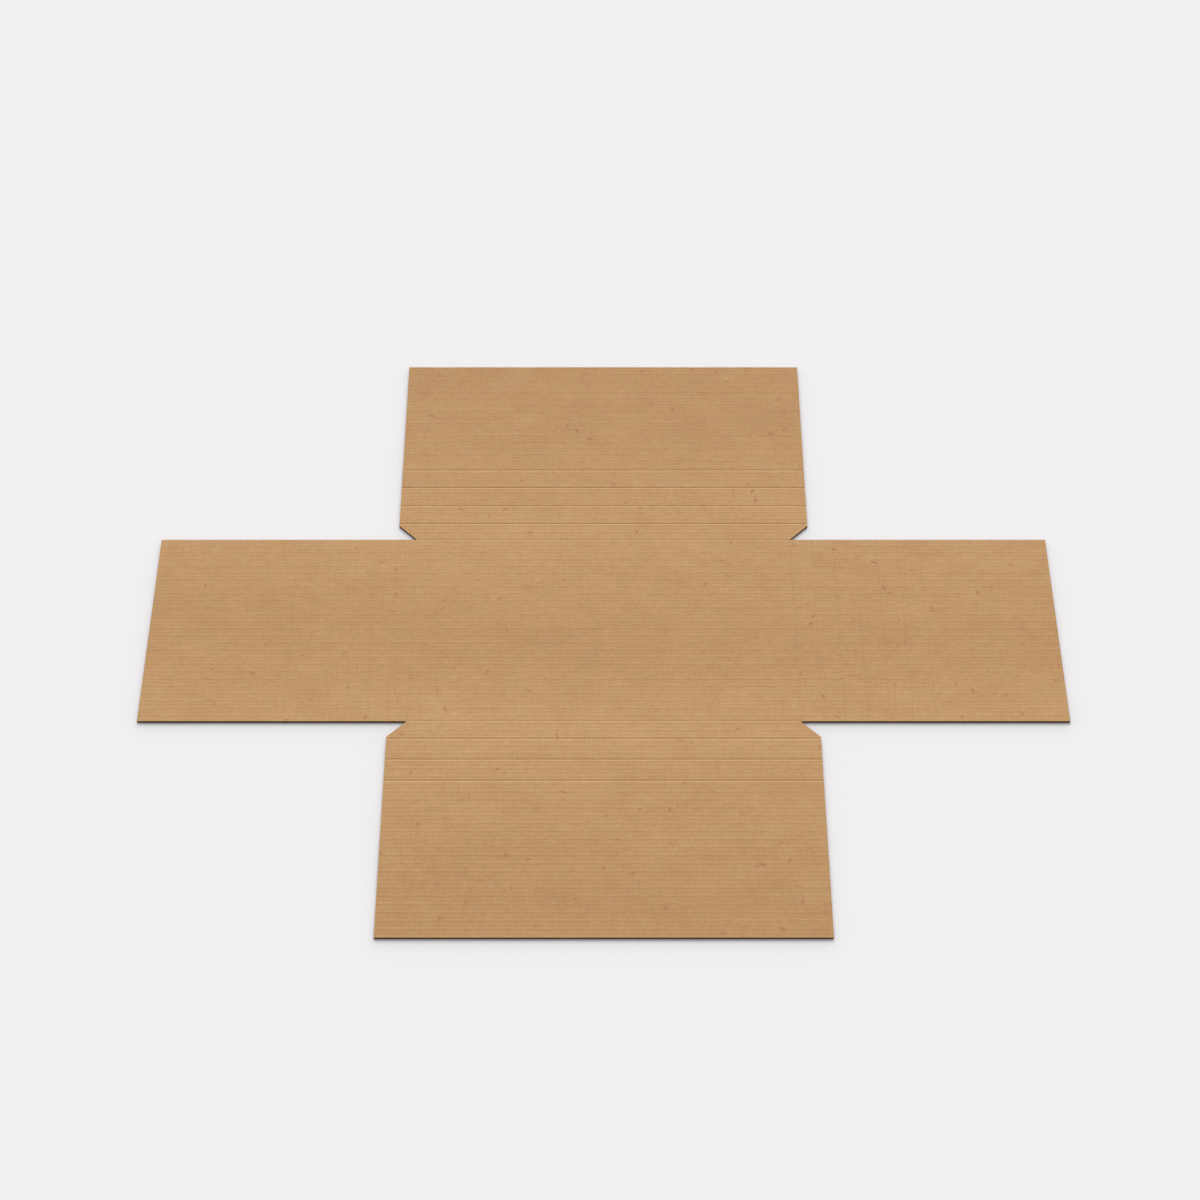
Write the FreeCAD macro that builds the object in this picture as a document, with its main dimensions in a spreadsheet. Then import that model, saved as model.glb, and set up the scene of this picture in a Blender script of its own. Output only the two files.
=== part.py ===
import FreeCAD, Part
import Sketcher
import math
import os

from FreeCAD import Vector

# Flattened cardboard box: one die-cut blank of single-wall corrugated board, lying open.
# A middle panel carries a long wing at the back and at the front and a shorter one at each
# side. Origin: centre of the underside. +X runs along the flutes, +Y to the back, +Z up.

doc = FreeCAD.newDocument("flattened_box")

# Driving dimensions, in millimetres; the counts are plain numbers
sizes = {
    "wing_width": 300.0,          # back and front wings, along X
    "long_wing_length": 177.4,    # back and front wings, from base crease to free edge
    "panel_depth": 167.2,         # middle panel and side wings, along Y
    "side_wing_length": 187.0,    # side wings, from base crease to free edge
    "notch_leg": 13.5,            # 45 degree relief cut at each inner corner
    "caliper": 1.8,               # whole thickness of the board
    "liner_thickness": 0.3,       # each flat outer paper
    "medium_thickness": 0.3,      # the wavy paper between the liners
    "flute_pitch": 3.26,          # from crest to crest of the wave
    "flute_angle": 58.0,          # steepness of the wave's sides, in degrees
    "crease_width": 2.0,          # rounded groove pressed along the flutes
    "crease_depth": 0.25,         # height creases
    "base_crease_depth": 0.17,    # the fainter crease at the foot of each long wing
    "crease_overlap": 1.5,        # how far two base creases run on past the corner they share
    "crease_first_step": 15.3,    # base crease to the first height crease
    "crease_step": 17.9,          # between the height creases
    "back_creases": 4,            # height creases on the back wing
    "front_creases": 3,           # height creases on the front wing
    "crush_margin": 0.3,          # solid board beside a crease, before the first open flute
    "side_crease_width": 2.0,     # faint groove pressed across the flutes
    "side_crease_depth": 0.12,
    "side_creases": 6,            # beyond the base crease, on each side wing
    "left_crease_step": 14.4,
    "right_crease_step": 15.7,
    "overrun": 5.0,               # how far a cutting tool runs past the blank
}

sheet = doc.addObject("Spreadsheet::Sheet", "Sizes")
for row, (name, value) in enumerate(sizes.items(), start=1):
    sheet.set("A" + str(row), name)
    sheet.set("B" + str(row), str(value))
    sheet.setAlias("B" + str(row), name)
doc.recompute()


def size(name):
    return float(sheet.get(name))


def count(name):
    return int(round(size(name)))


# Board blank: the cross-shaped outline, padded to the caliper


def quarterCorners():
    """The four outline corners with x and y above zero, from the back wing to the side wing."""
    wing = size("wing_width") / 2
    panel = size("panel_depth") / 2
    notch = size("notch_leg")
    return [
        Vector(wing, panel + size("long_wing_length"), 0),
        Vector(wing, panel + notch, 0),
        Vector(wing - notch, panel, 0),
        Vector(wing - notch + size("side_wing_length"), panel, 0),
    ]


def addOutline(sketch):
    """Sixteen straight edges, mirrored about both axes and tied to the sheet."""
    right = quarterCorners()
    top = [Vector(-p.x, p.y, 0) for p in reversed(right)] + right
    corners = top + [Vector(p.x, -p.y, 0) for p in reversed(top)]
    total = len(corners)
    for index in range(total):
        sketch.addGeometry(Part.LineSegment(corners[index], corners[(index + 1) % total]), False)

    def constrain(kind, *items):
        return sketch.addConstraint(Sketcher.Constraint(kind, *items))

    for index in range(total):
        constrain("Coincident", index, 2, (index + 1) % total, 1)
    half = len(top)
    quarter = len(right)
    # the sketch's own X axis is geometry -1 and its Y axis -2; -1, 1 is its root point
    for step in range(quarter):
        left, mirrored = quarter - 1 - step, quarter + step
        constrain("Symmetric", left, 1, mirrored, 1, -2)
    for step in range(half):
        constrain("Symmetric", step, 1, total - 1 - step, 1, -1)

    back, shoulder, inner, tip = range(quarter, 2 * quarter)
    constrain("Vertical", back)
    constrain("Horizontal", inner)
    ties = [
        ("DistanceX", back, "Sizes.wing_width / 2"),
        ("DistanceY", back, "Sizes.panel_depth / 2 + Sizes.long_wing_length"),
        ("DistanceY", shoulder, "Sizes.panel_depth / 2 + Sizes.notch_leg"),
        ("DistanceX", inner, "Sizes.wing_width / 2 - Sizes.notch_leg"),
        ("DistanceY", inner, "Sizes.panel_depth / 2"),
        ("DistanceX", tip, "Sizes.wing_width / 2 - Sizes.notch_leg + Sizes.side_wing_length"),
    ]
    for kind, corner, expression in ties:
        point = corners[corner]
        start = point.x if kind == "DistanceX" else point.y
        tie = constrain(kind, -1, 1, corner, 1, start)
        sketch.setExpression("Constraints[%d]" % tie, expression)


body = doc.addObject("PartDesign::Body", "board")
groundPlane = [f for f in body.Origin.OriginFeatures if f.Role == "XY_Plane"][0]
outline = body.newObject("Sketcher::SketchObject", "outline")
outline.AttachmentSupport = [(groundPlane, "")]
outline.MapMode = "FlatFace"
addOutline(outline)
pad = body.newObject("PartDesign::Pad", "blank_pad")
pad.Profile = outline
pad.setExpression("Length", "Sizes.caliper")
body.Tip = pad
doc.recompute()
print("board blank padded")


# Creases: rounded grooves pressed into the upper face

RADIUS = "(Sizes.{width} ^ 2 / 4 + Sizes.{depth} ^ 2) / (2 * Sizes.{depth})"
AXIS_LEVEL = "Sizes.caliper - Sizes.{depth} + " + RADIUS
ALONG_X = FreeCAD.Rotation(Vector(0, 1, 0), 90)
ALONG_Y = FreeCAD.Rotation(Vector(1, 0, 0), -90)


def grooveTool(name, width, depth, turn, length, place):
    """A round bar laid with its lowest line one crease depth under the upper face."""
    bar = doc.addObject("Part::Cylinder", name)
    bar.Placement = FreeCAD.Placement(Vector(), turn)
    bar.setExpression("Radius", RADIUS.format(width=width, depth=depth))
    bar.setExpression("Height", length)
    for axis, expression in place.items():
        bar.setExpression("Placement.Base." + axis, expression)
    bar.setExpression("Placement.Base.z", AXIS_LEVEL.format(width=width, depth=depth))
    return bar


INNER = "Sizes.wing_width / 2 - Sizes.notch_leg"


def alongGrooves():
    """The base and height creases of the back and front wings, along the flutes."""
    bars = []
    corner = INNER + " + Sizes.crease_overlap"
    for side, sign in (("back", "1"), ("front", "-1")):
        bars.append(grooveTool(
            side + "_base_crease", "crease_width", "base_crease_depth", ALONG_X,
            "2 * (" + corner + ")",
            {"x": "-(" + corner + ")", "y": sign + " * Sizes.panel_depth / 2"}))
        for number in range(count(side + "_creases")):
            reach = "Sizes.panel_depth / 2 + Sizes.crease_first_step"
            reach += " + %d * Sizes.crease_step" % number
            bars.append(grooveTool(
                "%s_crease_%d" % (side, number + 1), "crease_width", "crease_depth", ALONG_X,
                "Sizes.wing_width + 2 * Sizes.overrun",
                {"x": "-Sizes.wing_width / 2 - Sizes.overrun",
                 "y": sign + " * (" + reach + ")"}))
    return bars


def acrossGrooves():
    """The faint creases of the side wings, across the flutes."""
    bars = []
    for side, sign in (("right", "1"), ("left", "-1")):
        for number in range(count("side_creases") + 1):
            reach = INNER + " + %d * Sizes.%s_crease_step" % (number, side)
            bars.append(grooveTool(
                "%s_crease_%d" % (side, number), "side_crease_width", "side_crease_depth", ALONG_Y,
                "Sizes.panel_depth + 2 * Sizes.crease_overlap",
                {"x": sign + " * (" + reach + ")",
                 "y": "-Sizes.panel_depth / 2 - Sizes.crease_overlap"}))
    return bars


def pressed(name, base, bars):
    """The board with a set of grooves cut; the bars of one set don't touch each other."""
    grooves = doc.addObject("Part::Compound", name + "_grooves")
    grooves.Links = bars
    cut = doc.addObject("Part::Cut", name)
    cut.Base = base
    cut.Tool = grooves
    return cut


scored = pressed("scored_across", body, acrossGrooves())
creased = pressed("creased_board", scored, alongGrooves())
doc.recompute()
print("creases pressed")


# Flutes: the open channels between the liners and the wavy medium, along X

def longCreases():
    """Y of each height crease: first those of the back wing, then those of the front wing."""
    first = size("panel_depth") / 2 + size("crease_first_step")
    step = size("crease_step")
    back = [first + number * step for number in range(count("back_creases"))]
    front = [-first - number * step for number in range(count("front_creases"))]
    return back + front


def channelWidths():
    """Half the narrow side of a channel, at the wave's crest, and half its wide side."""
    angle = math.radians(size("flute_angle"))
    run = channelHeight() / math.tan(angle)
    wall = size("medium_thickness") * (1 / math.sin(angle) - 1 / math.tan(angle))
    crest = (size("flute_pitch") / 2 - run - wall) / 2
    return crest, crest + run


def channelHeight():
    return size("caliper") - 2 * size("liner_thickness") - size("medium_thickness")


def channelSection(centre, upright):
    """One channel's end, in the YZ plane: a trapezoid under a crest or over a trough."""
    crest, foot = channelWidths()
    wide = size("liner_thickness") if upright else size("caliper") - size("liner_thickness")
    narrow = wide + channelHeight() * (1 if upright else -1)
    outline = [(-foot, wide), (foot, wide), (crest, narrow), (-crest, narrow)]
    return [Vector(0, centre + across, level) for across, level in outline]


def channel(section, start, end):
    """A straight channel of the given section, from X start to X end."""
    ends = [point + Vector(start, 0, 0) for point in section]
    face = Part.Face(Part.makePolygon(ends + ends[:1]))
    return face.extrude(Vector(end - start, 0, 0))


def fluteChannels():
    """Every channel of the blank; none where a crease has crushed the flutes flat."""
    halfPitch = size("flute_pitch") / 2
    panelEdge = size("panel_depth") / 2
    inner = size("wing_width") / 2 - size("notch_leg")
    tip = inner + size("side_wing_length") + size("overrun")
    wing = size("wing_width") / 2 + size("overrun")
    crushed = size("crease_width") / 2 + channelWidths()[1] + size("crush_margin")
    rows = math.ceil((panelEdge + size("long_wing_length")) / halfPitch)
    channels = []
    for row in range(-rows, rows + 1):
        centre = row * halfPitch
        section = channelSection(centre, row % 2 == 0)
        if any(abs(centre - crease) < crushed for crease in longCreases()):
            continue
        if abs(abs(centre) - panelEdge) < crushed:
            channels.append(channel(section, inner + crushed, tip))
            channels.append(channel(section, -tip, -inner - crushed))
            continue
        reach = tip if abs(centre) < panelEdge else wing
        channels.append(channel(section, -reach, reach))
    return Part.makeCompound(channels)


flutes = doc.addObject("Part::Feature", "flute_channels")
flutes.Shape = fluteChannels()
flutes.Placement = FreeCAD.Placement()

blank = doc.addObject("Part::Cut", "cardboard_blank")
blank.Label = "cardboard_blank"
blank.Base = creased
blank.Tool = flutes
doc.recompute()
print("flute channels cut")


# Checks and export

for item in doc.Objects:
    if "Invalid" in item.State or "Error" in item.State:
        raise RuntimeError(item.Label + " failed to compute")
for item in (body, scored, creased, blank):
    if item.Shape.isNull() or not item.Shape.isValid():
        raise RuntimeError(item.Label + " has no valid shape")
if len(blank.Shape.Solids) != 1:
    raise RuntimeError("the blank fell into %d solids" % len(blank.Shape.Solids))

os.makedirs("parts", exist_ok=True)
blank.Shape.exportStep("parts/" + blank.Label + ".step")
box = blank.Shape.BoundBox
print("blank %.2f x %.2f x %.2f mm" % (box.XLength, box.YLength, box.ZLength))
print("solid volume %.0f mm3" % blank.Shape.Volume)
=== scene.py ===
import math

import bmesh
import bpy
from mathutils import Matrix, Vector


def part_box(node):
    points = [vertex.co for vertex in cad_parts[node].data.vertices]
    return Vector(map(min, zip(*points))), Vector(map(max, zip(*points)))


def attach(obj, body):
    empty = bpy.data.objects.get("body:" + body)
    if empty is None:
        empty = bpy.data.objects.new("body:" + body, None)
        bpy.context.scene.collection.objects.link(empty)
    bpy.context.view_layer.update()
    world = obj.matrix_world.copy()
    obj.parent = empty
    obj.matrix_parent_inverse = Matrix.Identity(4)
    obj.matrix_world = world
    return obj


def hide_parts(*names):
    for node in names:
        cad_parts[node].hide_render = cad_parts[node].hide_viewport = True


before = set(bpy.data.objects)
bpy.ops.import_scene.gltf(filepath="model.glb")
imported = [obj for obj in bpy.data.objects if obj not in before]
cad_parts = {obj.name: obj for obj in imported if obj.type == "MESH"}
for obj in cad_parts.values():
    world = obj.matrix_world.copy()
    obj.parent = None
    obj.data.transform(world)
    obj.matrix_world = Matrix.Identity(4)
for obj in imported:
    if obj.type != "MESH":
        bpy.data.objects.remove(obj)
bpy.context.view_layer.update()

low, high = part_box("cardboard_blank")
millimetre = 0.001
print("frame loaded")


def linear(red, green, blue):
    # a colour as a picture editor shows it, 0 to 255, turned into the renderer's own scale
    def one(value):
        share = value / 255
        return share / 12.92 if share <= 0.04045 else ((share + 0.055) / 1.055) ** 2.4
    return (one(red), one(green), one(blue), 1.0)


# The board: two flat papers with a wavy one between them, die-cut to a cross

board = {
    "span": high.x - low.x,            # tip to tip of the side wings
    "depth": high.y - low.y,           # free edge of the back wing to that of the front wing
    "wingWidth": 300 * millimetre,     # back and front wings
    "panelDepth": 167.2 * millimetre,  # middle panel and side wings
    "notch": 13.5 * millimetre,        # 45 degree relief cut at each inner corner
    "paper": 0.3 * millimetre,
    "glue": 0.002 * millimetre,        # keeps the wavy paper's shell off the lower one's
    "flute": 3.26 * millimetre,        # crest to crest
    "upperRows": 8,                    # mesh rows in one flute of the upper paper
    "waveRows": 12,
    "ripple": 0.008 * millimetre,      # how far the flutes show through the upper paper
    "cutFace": 0.2,                    # a face that leans up or down less than this was cut
    "fluteEnd": 0.9,                   # and one that faces the side more than this cuts the flutes
}

creases = {
    "width": 2.0 * millimetre,
    "steepWall": 0.75 * millimetre,    # the far wall is short and steep, the near one long and gentle
    "depth": 0.25 * millimetre,
    "baseDepth": 0.17 * millimetre,
    "pressMargin": 0.8 * millimetre,   # the flutes stop showing this far from a crease
    "crushReach": 2.31 * millimetre,   # half flutes closer than this to a height crease are solid
    "wallShift": 0.75 * millimetre,    # middle of the steep wall, behind the crease's own line
    "firstStep": 15.3 * millimetre,    # base crease to the first height crease
    "step": 17.9 * millimetre,
    "back": 4,                         # height creases on the back wing
    "front": 3,
    "overlap": 1.5 * millimetre,       # base creases run on past the corner by this much
    "sideWidth": 2.0 * millimetre,
    "sideDepth": 0.12 * millimetre,
    "side": 6,                         # faint creases on each side wing, beyond its base crease
    "leftStep": 14.4 * millimetre,
    "rightStep": 15.7 * millimetre,
    "leftShare": 0.6,                  # the left wing's lines are fainter
    "loops": (0, 0.18, 0.36, 0.55, 0.73, 0.8, 0.87, 0.93, 1),  # mesh rows, as shares of the width
}

halfWing = board["wingWidth"] / 2
halfPanel = board["panelDepth"] / 2
innerCorner = halfWing - board["notch"]


def heightCreasePlaces():
    # y of every height crease, on the back wing and then on the front wing
    first = halfPanel + creases["firstStep"]
    back = [first + number * creases["step"] for number in range(creases["back"])]
    front = [-first - number * creases["step"] for number in range(creases["front"])]
    return back + front


def longCreasePlaces():
    # y of every crease along the flutes, with the two base creases first
    return [halfPanel, -halfPanel] + heightCreasePlaces()


def sideCreasePlaces():
    # x of every crease across the flutes
    places = []
    for sign, step in ((-1, creases["leftStep"]), (1, creases["rightStep"])):
        places += [sign * (innerCorner + number * step) for number in range(creases["side"] + 1)]
    return places


def nearLip(place):
    # a crease is placed by the middle of its steep wall, the dark line that shows
    return place + creases["wallShift"] + creases["steepWall"] / 2 - creases["width"]


def dip(distance, width, farWall, depth):
    # a pressed groove with rounded lips; distance runs from its near lip to its far one
    if not 0 < distance < width:
        return 0.0
    nearWall = width - farWall
    share = distance / nearWall if distance < nearWall else (width - distance) / farWall
    return depth * (1 - math.cos(math.pi * share)) / 2


def grooveDepth(x, y):
    # how far the upper paper is pressed down at a place on the blank
    total = 0.0
    for place in longCreasePlaces():
        depth = creases["depth"]
        if abs(place) == halfPanel:
            pastCorner = (abs(x) - innerCorner) / creases["overlap"]
            depth = creases["baseDepth"] * min(1.0, max(0.0, 1 - pastCorner))
        total = max(total, dip(y - nearLip(place), creases["width"], creases["steepWall"], depth))
    if abs(y) <= halfPanel:
        half = creases["sideWidth"] / 2
        for place in sideCreasePlaces():
            total = max(total, dip(x - place + half, half * 2, half, creases["sideDepth"]))
    return total


def isCrushed(y):
    # whether this half of a flute is pressed solid by a height crease
    half = board["flute"] / 2
    middle = round(y / half) * half
    return any(abs(middle - place) < creases["crushReach"] for place in heightCreasePlaces())


def cutLine(bm, place, normal, wanted):
    # adds an edge line where a plane crosses the wanted faces
    faces = [face for face in bm.faces if wanted(face.calc_center_bounds())]
    edges = {edge for face in faces for edge in face.edges}
    verts = {vert for face in faces for vert in face.verts}
    bmesh.ops.bisect_plane(bm, geom=list(verts) + list(edges) + faces, dist=1e-7,
                           plane_co=place, plane_no=normal)


def dropFaces(bm, unwanted):
    faces = [face for face in bm.faces if unwanted(face.calc_center_bounds())]
    bmesh.ops.delete(bm, geom=faces, context="FACES")


def crossSheet(rows):
    # one flat sheet of the blank's outline, with rows of faces along the flutes
    bm = bmesh.new()
    bmesh.ops.create_grid(bm, x_segments=1, y_segments=rows, size=0.5)
    bmesh.ops.scale(bm, vec=(board["span"], board["depth"], 1), verts=bm.verts)
    for sign in (1, -1):
        cutLine(bm, (sign * halfWing, 0, 0), (1, 0, 0), lambda centre: True)
        cutLine(bm, (0, sign * halfPanel, 0), (0, 1, 0), lambda centre: True)
        cutLine(bm, (0, sign * (halfPanel + board["notch"]), 0), (0, 1, 0), lambda centre: True)
    dropFaces(bm, lambda centre: abs(centre.x) > halfWing and abs(centre.y) > halfPanel)
    for signX in (1, -1):
        for signY in (1, -1):
            def besideNotch(centre):
                return halfPanel < centre.y * signY < halfPanel + board["notch"]
            cutLine(bm, (signX * innerCorner, signY * halfPanel, 0), (signX, -signY, 0), besideNotch)
    dropFaces(bm, lambda centre: abs(centre.y) > halfPanel
              and abs(centre.x) - innerCorner > abs(centre.y) - halfPanel)
    return bm


def thickened(bm):
    # the sheet given a paper's thickness below it, as a closed shell
    bmesh.ops.recalc_face_normals(bm, faces=bm.faces)
    if sum(face.normal.z for face in bm.faces) < 0:
        bmesh.ops.reverse_faces(bm, faces=bm.faces)
    lower = bmesh.ops.extrude_face_region(bm, geom=bm.faces[:])["geom"]
    moved = [item for item in lower if isinstance(item, bmesh.types.BMVert)]
    bmesh.ops.translate(bm, vec=(0, 0, -board["paper"]), verts=moved)
    bmesh.ops.recalc_face_normals(bm, faces=bm.faces)
    return bm


def lowerPaper():
    bm = crossSheet(1)
    bmesh.ops.translate(bm, vec=(0, 0, low.z + board["paper"]), verts=bm.verts)
    return thickened(bm)


def wavyPaper():
    flutes = board["depth"] / board["flute"]
    bm = crossSheet(round(flutes * board["waveRows"]))
    floorOfWave = low.z + board["paper"] + board["glue"]
    for vert in bm.verts:
        x, y = vert.co.x, vert.co.y
        ceiling = high.z - board["paper"] - board["ripple"] * 2 - grooveDepth(x, y)
        room = max(ceiling - floorOfWave - board["paper"], 0.0)
        phase = 2 * math.pi * y / board["flute"]
        rise = 1.0 if isCrushed(y) else (1 + math.cos(phase)) / 2
        vert.co.z = floorOfWave + board["paper"] + room * rise
    thickened(bm)
    underside = {vert for face in bm.faces if face.normal.z < -board["cutFace"] for vert in face.verts}
    for vert in underside:
        if isCrushed(vert.co.y):
            vert.co.z = floorOfWave
    return bm


def markCreases(bm):
    # from 0 to 1: flutes pressed flat, a painted highlight on a crease's gentle wall, painted shade in
    # a side crease
    pressed = bm.verts.layers.float.new("pressed")
    paintedHighlight = bm.verts.layers.float.new("paintedHighlight")
    paintedCreaseShade = bm.verts.layers.float.new("paintedCreaseShade")
    nearWall = creases["width"] - creases["steepWall"]
    margin = creases["pressMargin"]
    for vert in bm.verts:
        for place in longCreasePlaces():
            along = vert.co.y - nearLip(place)
            share = (along + margin) / (creases["width"] + 2 * margin)
            if 0 < share < 1:
                vert[pressed] = max(vert[pressed], math.sin(math.pi * share))
            # painted highlight on the gentle near wall of a crease, the wall that faces the lamp
            if 0 < along < nearWall:
                vert[paintedHighlight] = math.sin(math.pi * along / nearWall)
        # painted shade along each side crease, darkest on its line
        for place in sideCreasePlaces():
            most = creases["leftShare"] if place < 0 else 1.0
            fromLine = abs(vert.co.x - place) / (creases["sideWidth"] / 2)
            vert[paintedCreaseShade] = max(vert[paintedCreaseShade], most * (1 - fromLine))


def upperPaper():
    flutes = board["depth"] / board["flute"]
    bm = crossSheet(round(flutes * board["upperRows"]))
    for place in longCreasePlaces():
        for share in creases["loops"]:
            cutLine(bm, (0, nearLip(place) + share * creases["width"], 0), (0, 1, 0),
                    lambda centre: abs(centre.y - place) < creases["width"])
    for place in sideCreasePlaces():
        for share in (-0.5, 0.0, 0.5):
            cutLine(bm, (place + share * creases["sideWidth"], 0, 0), (1, 0, 0),
                    lambda centre: abs(centre.y) < halfPanel)
    markCreases(bm)
    top = high.z - board["ripple"]
    for vert in bm.verts:
        x, y = vert.co.x, vert.co.y
        wave = board["ripple"] * math.cos(2 * math.pi * y / board["flute"])
        vert.co.z = top + wave - grooveDepth(x, y)
    return thickened(bm)


def giveMaterials(bm, kraft, cut, wavy, isWavy):
    # kraft, cut and wavy are places in the piece's list of materials
    for face in bm.faces:
        wasCut = abs(face.normal.z) < board["cutFace"]
        acrossFlutes = wasCut and abs(face.normal.x) > board["fluteEnd"]
        if acrossFlutes or (isWavy and not wasCut):
            face.material_index = wavy
        else:
            face.material_index = cut if wasCut else kraft
        face.smooth = not wasCut
    for edge in bm.edges:
        edge.smooth = len({face.smooth for face in edge.link_faces}) == 1


def makeBoard(kraftMaterial, cutMaterial, wavyMaterial):
    mesh = bpy.data.meshes.new("cardboardBlank")
    for material in (kraftMaterial, cutMaterial, wavyMaterial):
        mesh.materials.append(material)
    whole = bmesh.new()
    for build in (lowerPaper, wavyPaper, upperPaper):
        bm = build()
        giveMaterials(bm, 0, 1, 2, build == wavyPaper)
        part = bpy.data.meshes.new("layer")
        bm.to_mesh(part)
        whole.from_mesh(part)
        bm.free()
        bpy.data.meshes.remove(part)
    whole.to_mesh(mesh)
    print("board mesh has", sum(len(face.verts) - 2 for face in whole.faces), "triangles")
    whole.free()
    piece = bpy.data.objects.new("cardboardBlank", mesh)
    bpy.context.scene.collection.objects.link(piece)
    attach(piece, "root")
    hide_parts("cardboard_blank")
    return piece


# Materials


class Nodes:
    # a short way to write the node tree of a material or a world
    def __init__(self, owner, coordinates="Object"):
        owner.use_nodes = True
        self.owner = owner
        self.tree = owner.node_tree
        self.shader = self.tree.nodes.get("Principled BSDF")
        self.place = self.add("ShaderNodeTexCoord").outputs[coordinates]

    def add(self, kind, **settings):
        node = self.tree.nodes.new(kind)
        for name, value in settings.items():
            setattr(node, name, value)
        return node

    def put(self, value, socket):
        if isinstance(value, bpy.types.NodeSocket):
            self.tree.links.new(value, socket)
        else:
            socket.default_value = value

    def axes(self):
        node = self.add("ShaderNodeSeparateXYZ")
        self.put(self.place, node.inputs[0])
        return node.outputs

    def attribute(self, name):
        return self.add("ShaderNodeAttribute", attribute_name=name).outputs["Fac"]

    def mapped(self, size, turn=0.0):
        # size: how large one step of a pattern is along x, y and z, in metres
        node = self.add("ShaderNodeMapping", vector_type="TEXTURE")
        self.put(self.place, node.inputs["Vector"])
        node.inputs["Rotation"].default_value = (0, 0, turn)
        node.inputs["Scale"].default_value = size
        return node.outputs["Vector"]

    def noise(self, size, detail, roughness):
        node = self.add("ShaderNodeTexNoise")
        self.put(self.mapped(size), node.inputs["Vector"])
        node.inputs["Scale"].default_value = 1.0
        node.inputs["Detail"].default_value = detail
        node.inputs["Roughness"].default_value = roughness
        return node.outputs["Fac"]

    def math(self, operation, *values):
        node = self.add("ShaderNodeMath", operation=operation)
        for value, socket in zip(values, node.inputs):
            self.put(value, socket)
        return node.outputs[0]

    def ramp(self, value, ends, most=1.0, curve="LINEAR"):
        # 0 at the first end and the most at the second, and limited to that
        node = self.add("ShaderNodeMapRange", interpolation_type=curve)
        self.put(value, node.inputs["Value"])
        node.inputs["From Min"].default_value = ends[0]
        node.inputs["From Max"].default_value = ends[1]
        node.inputs["To Max"].default_value = most
        return node.outputs["Result"]

    def mix(self, share, first, second, blend="MIX"):
        node = self.add("ShaderNodeMix", data_type="RGBA", blend_type=blend)
        self.put(share, node.inputs["Factor"])
        self.put(first, node.inputs[6])
        self.put(second, node.inputs[7])
        return node.outputs[2]

    def finish(self, colour, roughness, specular):
        self.put(colour, self.shader.inputs["Base Color"])
        self.shader.inputs["Roughness"].default_value = roughness
        self.shader.inputs["Specular IOR Level"].default_value = specular
        return self.owner

    def bump(self, height, distance, strength=0.6):
        node = self.add("ShaderNodeBump")
        node.inputs["Strength"].default_value = strength
        node.inputs["Distance"].default_value = distance
        self.put(height, node.inputs["Height"])
        self.put(node.outputs["Normal"], self.shader.inputs["Normal"])


# Kraft paper

paper = {
    "light": linear(194, 153, 105),
    "dark": linear(184, 142, 96),
    "lightestAt": 95 * millimetre,        # lightest round the base creases, and darker up to
    "darkeningReach": 100 * millimetre,    # this far from there
    "darkeningPerMetre": 6.0,
    "bands": ((0.45, 0.07, 0.2), 2, 0.45),  # a noise: its size along x, y and z, detail, roughness
    "browns": (0.4, 1.3),                # bands and the darkening away from the base creases together, from light to dark
    "casts": (                           # pairs of casts that the brown is multiplied by
        ((0.984, 1.018, 1.014, 1), (1.020, 0.976, 0.980, 1), 1.0),  # olive, rosy, size of patches
        ((1.0, 1.0, 1.030, 1), (1.0, 1.0, 0.970, 1), 0.8),          # grey, yellow
    ),
    "castPatches": ((0.036, 0.125), (0.0032, 0.085)),  # large and fine: size, and how soft
    "castDepth": 0.65,                   # a patch's size along y, for one of 1 along x
    "castDetail": 5,
    "castRoughness": 0.95,
    "roughness": 0.82,
    "specular": 0.25,
    "tooth": 0.02 * millimetre,          # how far the fibres stand up
}

fluteLines = {
    "strength": 0.032,                   # of the line over each flute
    "second": 0.018,                     # every second line is a little stronger
    "patches": ((0.25, 0.0024, 0.05), 2, 0.6),
    "patchEnds": (0.3, 0.7),             # from patches with no lines to those with double ones
}

fibres = {
    "noises": {                          # each with how much it lightens and darkens at the end
        "clouds": ((0.042, 0.025, 0.05), 1, 0.6, 0.15),
        "mottle": ((0.018, 0.0135, 0.02), 5, 0.95, 0.24),
        "grain": ((0.0015, 0.007, 0.01), 3, 0.8, 0.33),    # lies across the flutes
        "weft": ((0.010, 0.0009, 0.01), 3, 0.7, 0.41),     # lies along them
    },
    "shares": (0.74, 1.10, 1.44),        # of this pattern and the lines in red, green and blue
}

creaseColours = {
    # painted highlight: a crease's gentle wall, which faces the lamp, is mixed towards this lighter
    # brown
    "paintedHighlight": linear(206, 166, 120),
    "paintedHighlightShare": 0.35,
    "side": (0.956, 0.953, 0.948, 1),    # painted shade: the brown is multiplied by this in a side crease
}

specks = {
    "colour": linear(166, 98, 73),
    "share": 0.68,                       # how much of that colour covers the brown
    "turns": (0.3, 1.1, 1.9, 2.7),       # short dark fibres lie in these directions, in radians
    "cell": 21 * millimetre,             # room for one speck, in the first direction
    "cellGrowth": 3 * millimetre,        # and larger by this in each further one
    "narrow": 0.42,                      # a speck's width, for a length of 1
    "body": (0.125, 0.05),               # from a speck's rim to its core, in cells
    "chosen": (0.50, 1.0),               # from cells left empty to those with the darkest speck
}


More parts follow.
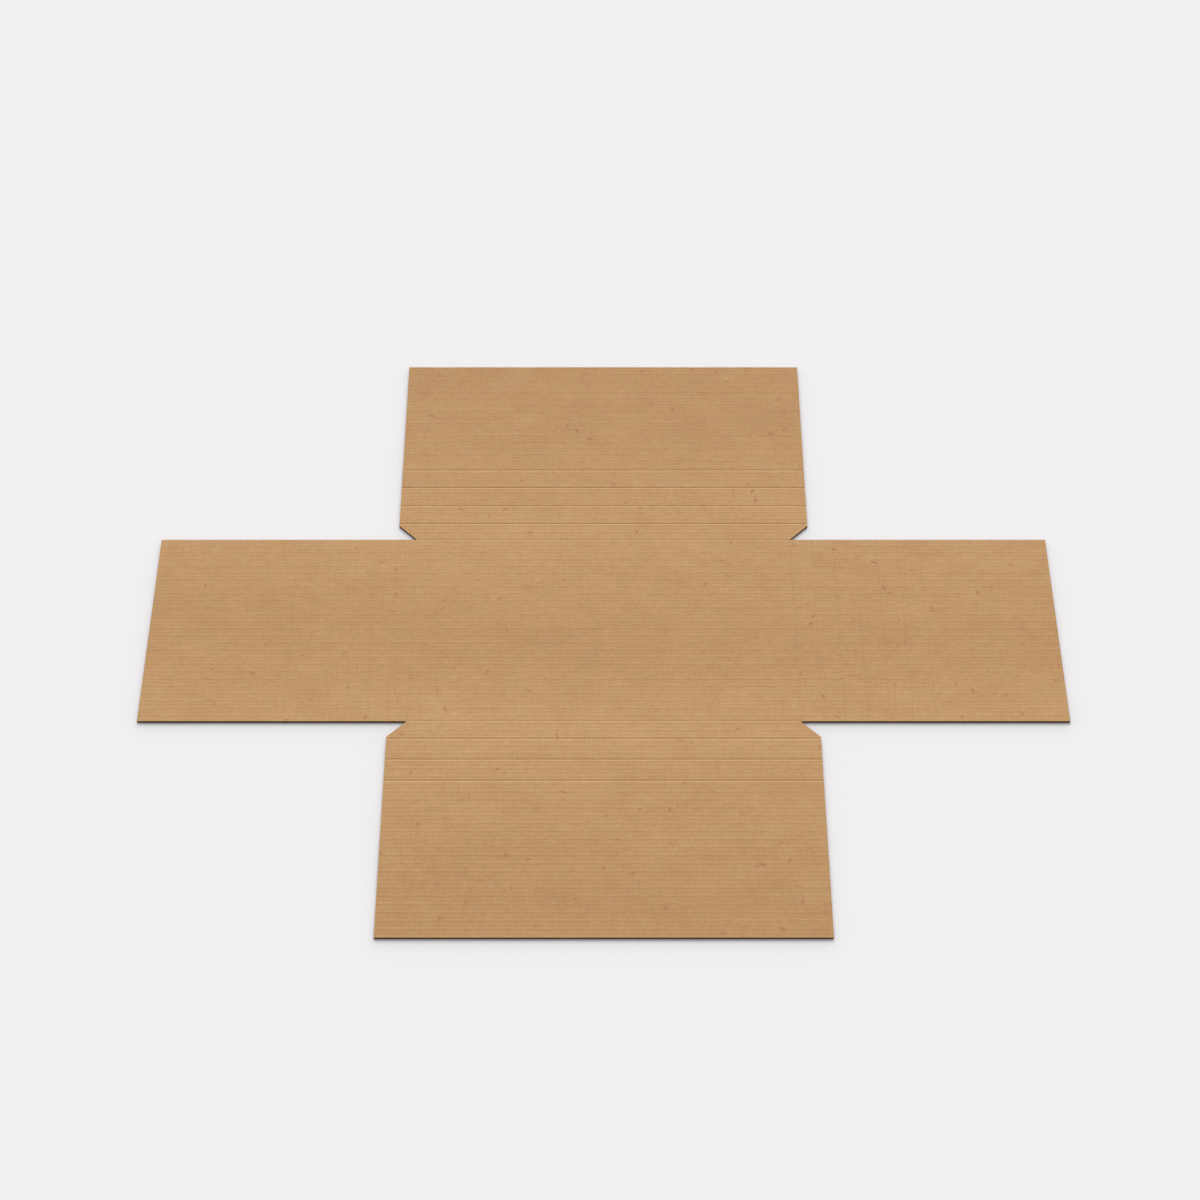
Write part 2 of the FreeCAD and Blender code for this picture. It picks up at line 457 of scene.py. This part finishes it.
def brownSheet(nodes, y):
    # slow drift between two browns, in bands along the flutes and darker away from the base creases,
    # and casts from place to place
    fromCreases = nodes.math("SUBTRACT", nodes.math("ABSOLUTE", y), paper["lightestAt"])
    fromCreases = nodes.math("MINIMUM", nodes.math("ABSOLUTE", fromCreases), paper["darkeningReach"])
    # the brown gets darker with distance from the base creases
    darkening = nodes.math("MULTIPLY", fromCreases, paper["darkeningPerMetre"])
    drift = nodes.math("ADD", darkening, nodes.noise(*paper["bands"]))
    colour = nodes.mix(nodes.ramp(drift, paper["browns"]), paper["light"], paper["dark"])
    for size, soft in paper["castPatches"]:
        for first, second, share in paper["casts"]:
            patches = (size * share, size * share * paper["castDepth"], size)
            noise = nodes.noise(patches, paper["castDetail"], paper["castRoughness"])
            cast = nodes.mix(nodes.ramp(noise, (0.5 - soft, 0.5 + soft)), first, second)
            colour = nodes.mix(1.0, colour, cast, blend="MULTIPLY")
    return colour


def linesOverFlutes(nodes, y):
    # the flutes show through as straight faint lines of uneven strength, but not at a crease
    turns = nodes.math("MULTIPLY", y, 2 * math.pi / board["flute"])
    every = nodes.math("MULTIPLY", nodes.math("SINE", turns), fluteLines["strength"])
    slower = nodes.math("SINE", nodes.math("MULTIPLY", turns, 0.5))
    lines = nodes.math("ADD", every, nodes.math("MULTIPLY", slower, fluteLines["second"]))
    uneven = nodes.ramp(nodes.noise(*fluteLines["patches"]), fluteLines["patchEnds"], most=2.0)
    lines = nodes.math("MULTIPLY", lines, uneven)
    return nodes.math("MULTIPLY", lines, nodes.math("SUBTRACT", 1.0, nodes.attribute("pressed")))


def shaded(nodes, colour, pattern):
    # the colour made lighter where the pattern is above 0 and darker where it is below
    shade = nodes.add("ShaderNodeCombineColor")
    for channel, share in enumerate(fibres["shares"]):
        nodes.put(nodes.math("MULTIPLY_ADD", pattern, share, 1.0), shade.inputs[channel])
    return nodes.mix(1.0, colour, shade.outputs[0], blend="MULTIPLY")


def creased(nodes, colour):
    # painted highlight on the gentle wall of each crease
    paintedHighlight = nodes.math("MULTIPLY", nodes.attribute("paintedHighlight"), creaseColours["paintedHighlightShare"])
    colour = nodes.mix(paintedHighlight, colour, creaseColours["paintedHighlight"])
    # painted shade along the side creases
    sideCreaseShade = nodes.mix(nodes.attribute("paintedCreaseShade"), (1, 1, 1, 1), creaseColours["side"])
    return nodes.mix(1.0, colour, sideCreaseShade, blend="MULTIPLY")


def speckled(nodes, colour):
    total = 0.0
    for number, turn in enumerate(specks["turns"]):
        size = specks["cell"] + specks["cellGrowth"] * number
        cells = nodes.add("ShaderNodeTexVoronoi")
        cells.inputs["Scale"].default_value = 1.0
        nodes.put(nodes.mapped((size, size * specks["narrow"], size), turn), cells.inputs["Vector"])
        chance = nodes.add("ShaderNodeSeparateColor")
        nodes.put(cells.outputs["Color"], chance.inputs[0])
        chosen = nodes.ramp(chance.outputs[0], specks["chosen"])
        body = nodes.ramp(cells.outputs["Distance"], specks["body"])
        total = nodes.math("MULTIPLY_ADD", body, chosen, total)
    return nodes.mix(nodes.math("MULTIPLY", total, specks["share"]), colour, specks["colour"])


def kraftFace():
    nodes = Nodes(bpy.data.materials.new("kraftFace"))
    y = nodes.axes()["Y"]
    pattern = linesOverFlutes(nodes, y)
    noises = {}
    for name, (size, detail, roughness, strength) in fibres["noises"].items():
        noises[name] = nodes.noise(size, detail, roughness)
        centred = nodes.math("SUBTRACT", noises[name], 0.5)
        pattern = nodes.math("MULTIPLY_ADD", centred, strength, pattern)
    colour = shaded(nodes, brownSheet(nodes, y), pattern)
    colour = speckled(nodes, creased(nodes, colour))
    tooth = nodes.math("MULTIPLY_ADD", noises["grain"], 0.5, noises["weft"])
    nodes.bump(tooth, paper["tooth"])
    return nodes.finish(colour, paper["roughness"], paper["specular"])


# Raw fibre on the wavy paper, and the cut rims, near black: partly their darker fibre ends and mostly
# painted shade

cutEdge = {
    "fibres": ((0.0006, 0.0006, 0.0002), 3, 0.7),
    "contrast": (0.3, 0.7),    # from the dark colour to the light one
    # painted shade: the cut rims get these near-black browns, partly for their darker fibre ends and
    # mostly as the shade of a cut face with open flutes
    "dark": linear(18, 14, 12),
    "light": linear(38, 29, 23),
    "roughness": 0.95,
    "specular": 0.1,
    "relief": 0.1 * millimetre,
}

wavePaper = {
    "fibres": ((0.004, 0.001, 0.001), 3, 0.7),
    "contrast": (0.3, 0.7),
    "dark": linear(82, 61, 44),
    "light": linear(104, 78, 57),
    "roughness": 0.9,
    "specular": 0.1,
    "relief": 0.0,
}


def fibreAndEdgeShade(name, look):
    nodes = Nodes(bpy.data.materials.new(name))
    threads = nodes.noise(*look["fibres"])
    colour = nodes.mix(nodes.ramp(threads, look["contrast"]), look["dark"], look["light"])
    if look["relief"] > 0:
        nodes.bump(threads, look["relief"])
    return nodes.finish(colour, look["roughness"], look["specular"])


makeBoard(kraftFace(), fibreAndEdgeShade("cutEdge", cutEdge), fibreAndEdgeShade("wavePaper", wavePaper))
print("board made")


# Floor, light and camera

studio = {
    "floorSize": 12.0,
    "floorColour": linear(244, 242, 243),
    "floorGap": 0.05 * millimetre,
    "skyStrength": 0.41,
    "horizonStrength": 4.0,         # more light from low down, behind and beside the board
    "horizonFade": (0.30, 0.05),    # it sets in at this height of the sky and is full at that one
    "behindFade": (-0.4, 0.2),      # and likewise from the front to the back
    "lampHeight": 33.0,             # degrees above the floor, straight behind the board
    "lampSpread": 70.0,             # degrees across, for soft shadows
    "lampStrength": 2.9,
}

camera = {
    "aim": (-0.00246, 0.0260, high.z),
    "distance": 1.9675,
    "height": 50.03,        # degrees above the floor
    "lens": 82.1,
    "sensor": 36.0,
}


def makeFloor():
    mesh = bpy.data.meshes.new("studioFloor")
    bm = bmesh.new()
    bmesh.ops.create_grid(bm, x_segments=1, y_segments=1, size=studio["floorSize"] / 2)
    bmesh.ops.translate(bm, vec=(0, 0, low.z - studio["floorGap"]), verts=bm.verts)
    bm.to_mesh(mesh)
    bm.free()
    nodes = Nodes(bpy.data.materials.new("studioFloor"))
    mesh.materials.append(nodes.finish(studio["floorColour"], 1.0, 0.0))
    floor = bpy.data.objects.new("studioFloor", mesh)
    bpy.context.scene.collection.objects.link(floor)


def makeRoom():
    # soft light from all sides, but where the camera or a reflection sees the room, a pale backdrop
    world = bpy.data.worlds.new("paleRoom")
    nodes = Nodes(world, "Generated")
    direction = nodes.axes()
    lowDown = nodes.ramp(direction["Z"], studio["horizonFade"], studio["horizonStrength"], "SMOOTHSTEP")
    behind = nodes.ramp(direction["Y"], studio["behindFade"], curve="SMOOTHSTEP")
    room = nodes.tree.nodes["Background"]
    room.inputs["Color"].default_value = (1, 1, 1, 1)
    strength = nodes.math("MULTIPLY_ADD", lowDown, behind, studio["skyStrength"])
    nodes.put(strength, room.inputs["Strength"])
    backdrop = nodes.add("ShaderNodeBackground")
    backdrop.inputs["Color"].default_value = studio["floorColour"]
    rays = nodes.add("ShaderNodeLightPath").outputs
    reflected = nodes.math("MAXIMUM", rays["Is Glossy Ray"], rays["Is Transmission Ray"])
    blend = nodes.add("ShaderNodeMixShader")
    nodes.put(nodes.math("MAXIMUM", rays["Is Camera Ray"], reflected), blend.inputs[0])
    nodes.put(room.outputs[0], blend.inputs[1])
    nodes.put(backdrop.outputs[0], blend.inputs[2])
    nodes.put(blend.outputs[0], nodes.tree.nodes["World Output"].inputs["Surface"])
    bpy.context.scene.world = world


def makeLamp():
    lamp = bpy.data.lights.new("windowBehind", "SUN")
    lamp.energy = studio["lampStrength"]
    lamp.angle = math.radians(studio["lampSpread"])
    holder = bpy.data.objects.new("windowBehind", lamp)
    holder.rotation_euler = (math.radians(studio["lampHeight"] - 90), 0, 0)
    bpy.context.scene.collection.objects.link(holder)


def makeCamera():
    scene = bpy.context.scene
    data = bpy.data.cameras.new("photoView")
    data.sensor_width = camera["sensor"]
    data.lens = camera["lens"]
    holder = bpy.data.objects.new("photoView", data)
    tilt = math.radians(camera["height"])
    away = Vector((0, -math.cos(tilt), math.sin(tilt))) * camera["distance"]
    holder.location = Vector(camera["aim"]) + away
    holder.rotation_euler = (math.pi / 2 - tilt, 0, 0)
    scene.collection.objects.link(holder)
    scene.camera = holder


makeFloor()
makeRoom()
makeLamp()
makeCamera()
bpy.context.scene.view_settings.view_transform = "Standard"
print("floor, light and camera set")
